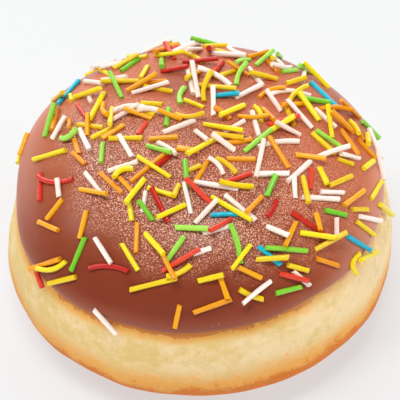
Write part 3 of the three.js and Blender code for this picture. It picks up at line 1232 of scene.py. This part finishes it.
    def settle(self, sprinkle: Sprinkle, lying: list[Sprinkle]) -> bool:
        """Lays one down where it clears those that lie there already.

        Args:
            sprinkle: The sprinkle, whose points are set.
            lying: The others.

        Returns:
            Whether there was room.
        """
        spot = self.form.on_frosting(sprinkle.turn, sprinkle.share)
        by = [other for other in lying if np.abs(other.points[1] - spot).max() < 2 * self.most_length]
        others = np.array([other.points for other in by]).reshape(-1, 3, 3)
        touching = sprinkle.radius + np.array([other.radius for other in by]) - self.bite
        for points in self.poses(sprinkle):
            if all(
                (nearest_between(points[i : i + 2], others[:, j : j + 2]) >= touching).all()
                for i in (0, 1)
                for j in (0, 1)
            ):
                sprinkle.points = points
                return True
        return False

    def scatter(self) -> list[Sprinkle]:
        """Lays them all down.

        Returns:
            The sprinkles, settled and coloured.
        """
        lying: list[Sprinkle] = []
        for sprinkle in self.candidates():
            if sprinkle.kept and self.settle(sprinkle, lying):
                sprinkle.colour = sprinkle.colour or self.dyeing.colour_beside(sprinkle, lying)
                lying.append(sprinkle)
            if len(lying) == self.count:
                return lying
        return lying


@dataclass(frozen=True)
class SprinkleMix:
    """The rods as meshes, one piece for each colour."""

    strewing: Strewing
    sides: int = 10
    straight_cuts: int = 3
    bent_cuts: int = 5
    least_taper: float = 0.92
    most_taper: float = 1.04
    ridges: float = 0.07
    finer_ridges: float = 0.042
    swell: float = 0.05
    swell_pitch: float = 5.0
    slant: float = 0.3
    ends_from: float = 0.45
    rod_seed: int = 101

    def add_rod(self, rods: bmesh.types.BMesh, sprinkle: Sprinkle, draws: Draws) -> int:
        """Adds one rod: ridged along its length by the die that pressed it, and broken off at both ends.

        Args:
            rods: The bmesh that holds the rods of its colour.
            sprinkle: The sprinkle.
            draws: Where its small differences come from.

        Returns:
            How many vertices it has.
        """
        rod = bmesh.new()
        bmesh.ops.create_cone(
            rod,
            cap_ends=True,
            cap_tris=False,
            segments=self.sides,
            radius1=sprinkle.radius,
            radius2=sprinkle.radius * draws.between(self.least_taper, self.most_taper),
            depth=sprinkle.length,
        )
        for edge in rod.edges:
            edge.smooth = edge.calc_length() > sprinkle.length / 2
        long_edges = [edge for edge in rod.edges if edge.smooth]
        cuts = self.bent_cuts if sprinkle.bend else self.straight_cuts
        bmesh.ops.subdivide_edges(rod, edges=long_edges, cuts=cuts, use_grid_fill=True)
        local = coordinates_of(rod)
        around = np.arctan2(local[:, 1], local[:, 0])
        along = local[:, 2] / sprinkle.length
        three, four, wave, pitch = (draws.between(0, 2 * math.pi) for _ in range(4))
        ridged = 1 + self.ridges * np.cos(3 * around + three)
        ridged = ridged + self.finer_ridges * np.cos(4 * around + four)
        thick = ridged * (1 + self.swell * np.sin(along * (self.swell_pitch + pitch) + wave))
        ends = [draws.between(-self.slant, self.slant) for _ in range(2)]
        slant = np.select([along > self.ends_from, along < -self.ends_from], ends)
        share = (local[:, 2] + slant * local[:, 0]) / sprinkle.length + 0.5
        move_to(rod, self.on_axis(sprinkle.points, share, local[:, 0] * thick, local[:, 1] * thick))
        count = len(rod.verts)
        mesh = mesh_from("rod", rod)
        rods.from_mesh(mesh)
        bpy.data.meshes.remove(mesh)
        return count

    @staticmethod
    def on_axis(points: np.ndarray, share: np.ndarray, aside: np.ndarray, up: np.ndarray) -> np.ndarray:
        """Places on the smooth curve through three points.

        Args:
            points: The curve's near end, middle and far end.
            share: How far along it, 0 to 1.
            aside: Distances from it, across.
            up: Distances from it, outwards.

        Returns:
            The places.
        """
        near, middle, far = points
        t = share[:, None]
        on_curve = near * (1 - t) * (1 - 2 * t) + middle * 4 * t * (1 - t) + far * t * (2 * t - 1)
        tangent = near * (4 * t - 3) + middle * (4 - 8 * t) + far * (4 * t - 1)
        tangent /= np.linalg.norm(tangent, axis=1)[:, None]
        rising = middle / np.linalg.norm(middle)
        across = np.cross(tangent, rising)
        across /= np.linalg.norm(across, axis=1)[:, None]
        return on_curve + across * aside[:, None] + np.cross(across, tangent) * up[:, None]

    def build(self) -> list[bpy.types.Object]:
        """Makes the pieces.

        Returns:
            One for each colour, whose vertices carry their rod's batch.
        """
        lying = self.strewing.scatter()
        pieces = []
        for colour in SprinkleColour:
            rods = bmesh.new()
            draws = Draws(self.rod_seed)
            batches: list[float] = []
            for sprinkle in (each for each in lying if each.colour is colour):
                count = self.add_rod(rods, sprinkle, draws)
                batches += [draws.next()] * count
            bmesh.ops.recalc_face_normals(rods, faces=rods.faces)
            name = f"sprinkles_{colour.name.lower()}"
            piece = placed_object(name, rods, SprinkleFinish(colour).material(), "frosting")
            carry(piece, BATCH, np.array(batches))
            pieces.append(piece)
        return pieces


# ---- Studio ----


@dataclass(frozen=True)
class SoftBox:
    """A studio light with a broad face, in metres, turned to the doughnut.

    One that isn't mirrored is polarised: glossy surfaces don't reflect it.
    """

    name: str
    place: tuple[float, float, float]
    width: float
    height: float
    watts: float
    mirrored: bool = True

    def build(self, target: Vector) -> bpy.types.Object:
        """Makes the light.

        Args:
            target: What it is turned to.

        Returns:
            The light.
        """
        lamp = bpy.data.lights.new(self.name, "AREA")
        lamp.shape = "RECTANGLE"
        lamp.size = self.width
        lamp.size_y = self.height
        lamp.energy = self.watts
        light = into_scene(self.name, lamp)
        light.location = self.place
        light.rotation_euler = (target - light.location).to_track_quat("-Z", "Y").to_euler()
        light.visible_glossy = self.mirrored
        return light


@dataclass(frozen=True)
class Studio:
    """A pale floor lit from within like a light table, soft light, and a camera that looks down.

    Lengths are in metres, the lens in millimetres, and the elevation in degrees.
    """

    form: Form
    elevation: float = 50.0
    distance: float = 0.6
    lens: float = 226.1
    aim_up: float = 0.0093
    floor_size: float = 6.0
    floor_tone: Colour = (0.262, 0.27, 0.276)
    floor_roughness: float = 0.9
    floor_glow: float = 0.565
    ambience: float = 0.15
    boxes: tuple[SoftBox, ...] = (
        SoftBox("top_light", (-0.55, -0.2, 1.95), 0.6, 0.6, 17.0, mirrored=False),
        SoftBox("crown_light", (0.02, -0.2, 1.95), 0.4, 0.4, 11.0),
        SoftBox("back_light", (-0.3, 1.6, 0.75), 2.2, 1.3, 26.0),
        SoftBox("left_light", (-1.5, 0.1, 1.3), 0.8, 0.8, 8.0),
        SoftBox("right_light", (1.7, 0.2, 0.55), 1.2, 0.8, 15.5, mirrored=False),
        SoftBox("front_light", (-0.1, -1.9, 0.35), 3.0, 0.5, 18.0, mirrored=False),
    )

    def build_floor(self) -> bpy.types.Object:
        """Makes the floor.

        Returns:
            The sheet, which isn't part of the object.
        """
        sheet = bmesh.new()
        bmesh.ops.create_grid(sheet, x_segments=1, y_segments=1, size=self.floor_size / 2)
        inputs = {
            "Base Color": self.floor_tone,
            "Roughness": self.floor_roughness,
            "Specular IOR Level": 0.0,
            "Emission Color": WHITE_LIGHT,
            "Emission Strength": self.floor_glow,
        }
        floor = into_scene("floor", mesh_from("floor", sheet))
        floor.data.materials.append(Graph("floor_white").finish(inputs))
        return floor

    def build_camera(self) -> bpy.types.Object:
        """Makes the camera and hands it to the scene.

        Returns:
            The camera.
        """
        tilt = math.radians(self.elevation)
        heart = Vector(self.form.heart)
        back = Vector((0, -math.cos(tilt), math.sin(tilt)))
        up = Vector((0, math.sin(tilt), math.cos(tilt)))
        lens = bpy.data.cameras.new("camera")
        lens.lens = self.lens
        lens.clip_start = 0.01
        camera = into_scene("camera", lens)
        camera.location = heart + back * self.distance
        target = heart + up * self.aim_up
        camera.rotation_euler = (target - camera.location).to_track_quat("-Z", "Y").to_euler()
        bpy.context.scene.camera = camera
        return camera

    def build(self) -> None:
        """Makes floor, lights, world and camera, and has colours shown as they are."""
        self.build_floor()
        for box in self.boxes:
            box.build(Vector(self.form.heart))
        world = bpy.data.worlds.new("studio_air")
        world.use_nodes = True
        air = world.node_tree.nodes["Background"]
        air.inputs["Color"].default_value = (*WHITE_LIGHT, 1.0)
        air.inputs["Strength"].default_value = self.ambience
        bpy.context.scene.world = world
        bpy.context.scene.view_settings.view_transform = "Standard"
        self.build_camera()


def main() -> None:
    """Builds the doughnut and its studio, and logs how many faces each piece has."""
    logging.basicConfig(level=logging.INFO, format="%(name)s: %(message)s")
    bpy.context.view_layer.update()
    form = Form()
    pieces = [Dough(form).build(), Frosting(form).build(), *SprinkleMix(Strewing(form)).build()]
    for piece in pieces:
        log.info("%s: %d faces", piece.name, len(piece.data.polygons))
    Studio(form).build()


if __name__ == "__main__":
    main()
